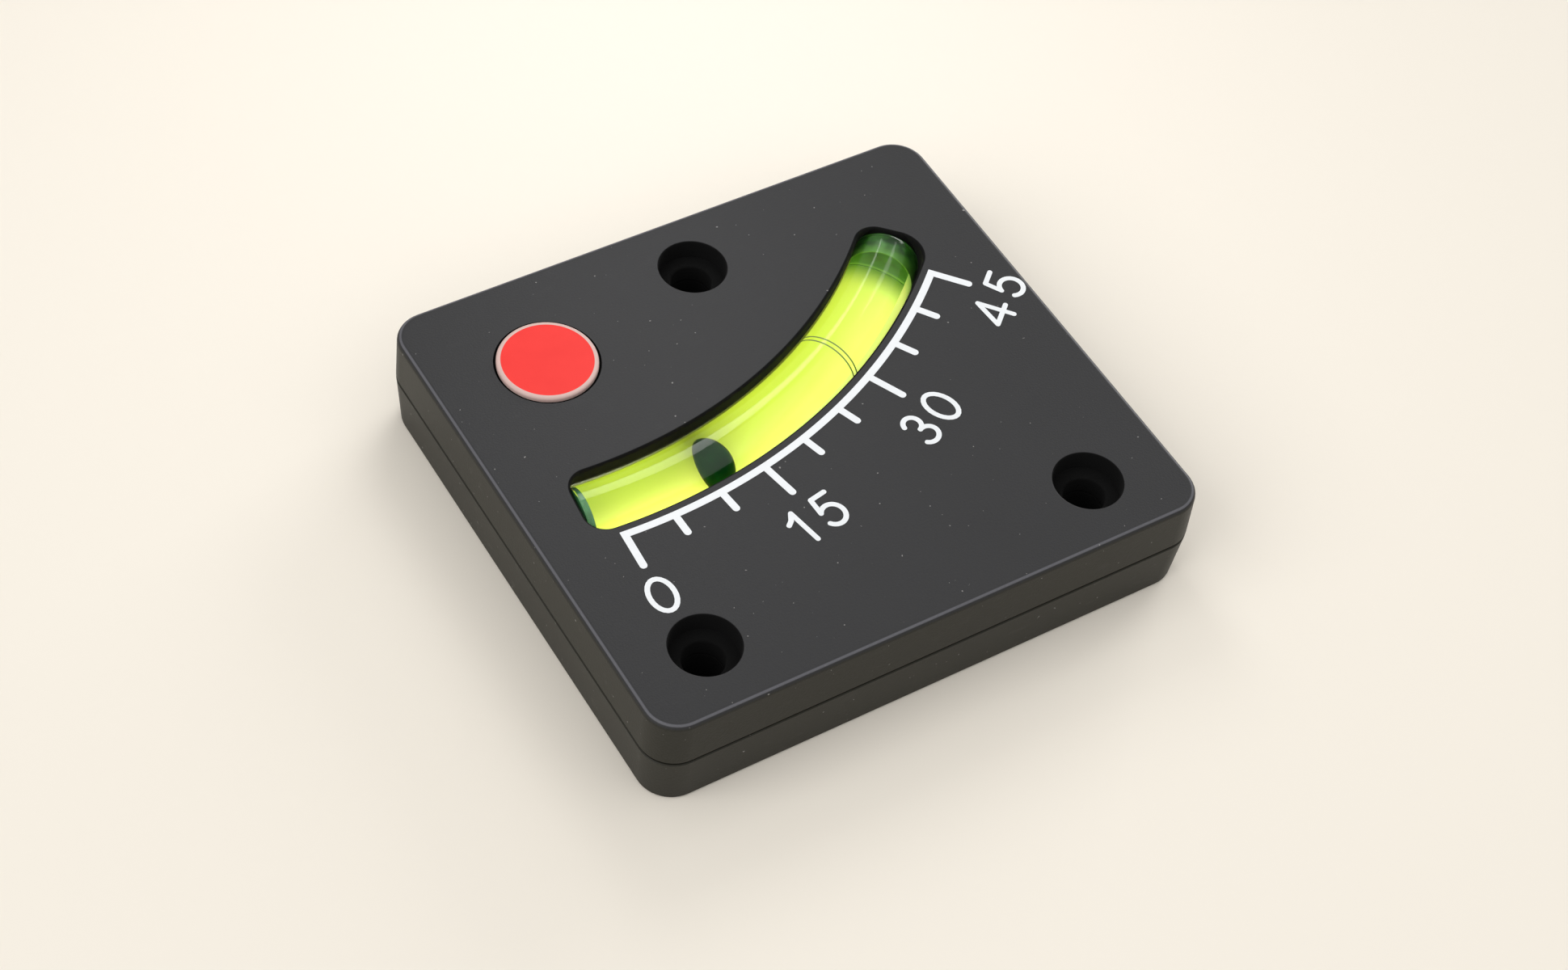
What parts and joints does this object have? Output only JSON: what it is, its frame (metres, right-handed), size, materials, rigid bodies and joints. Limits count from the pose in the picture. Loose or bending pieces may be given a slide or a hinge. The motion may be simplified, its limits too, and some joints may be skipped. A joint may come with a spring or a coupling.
{
  "type": "ball inclinometer",
  "caption": "Square black moulded slope indicator with a curved liquid-filled tube, a rolling ball and a printed arc scale, for screwing to a panel.",
  "frame": {"origin": "middle of the back, on the face that lies against the panel", "axes": "+X to the right along the case's width, +Y up the face, +Z out of the face towards the reader. The ball turns about +Z through the arc's centre, and a positive turn is a larger reading"},
  "size_m": [0.0702, 0.0638, 0.0141],
  "materials": {
    "black_plastic": "satin moulded black plastic with a very fine grain",
    "clear_tube": "clear polished acrylic tube",
    "green_plug": "translucent green plug",
    "dark_ball": "smooth dark ball, seen green through the liquid",
    "pale_strip": "matt pale backing strip",
    "red_badge": "red enamelled face with a pale metal rim"
  },
  "bodies": {
    "case": {"front_cover": "black_plastic", "rear_cover": "black_plastic", "vial_tube": "clear_tube", "zero_end_plug": "green_plug", "far_end_plug": "green_plug", "reflector_strip": "pale_strip", "badge": "red_badge"},
    "ball": {"indicator_ball": "dark_ball"}
  },
  "joints": [
    {"name": "ball_roll", "type": "hinge", "parent": "case", "child": "ball", "pos_m": [-0.02147, 0.06335, 0.0092], "axis": [0, 0, 1], "range_deg": [-13.5, 32.3]}
  ]
}
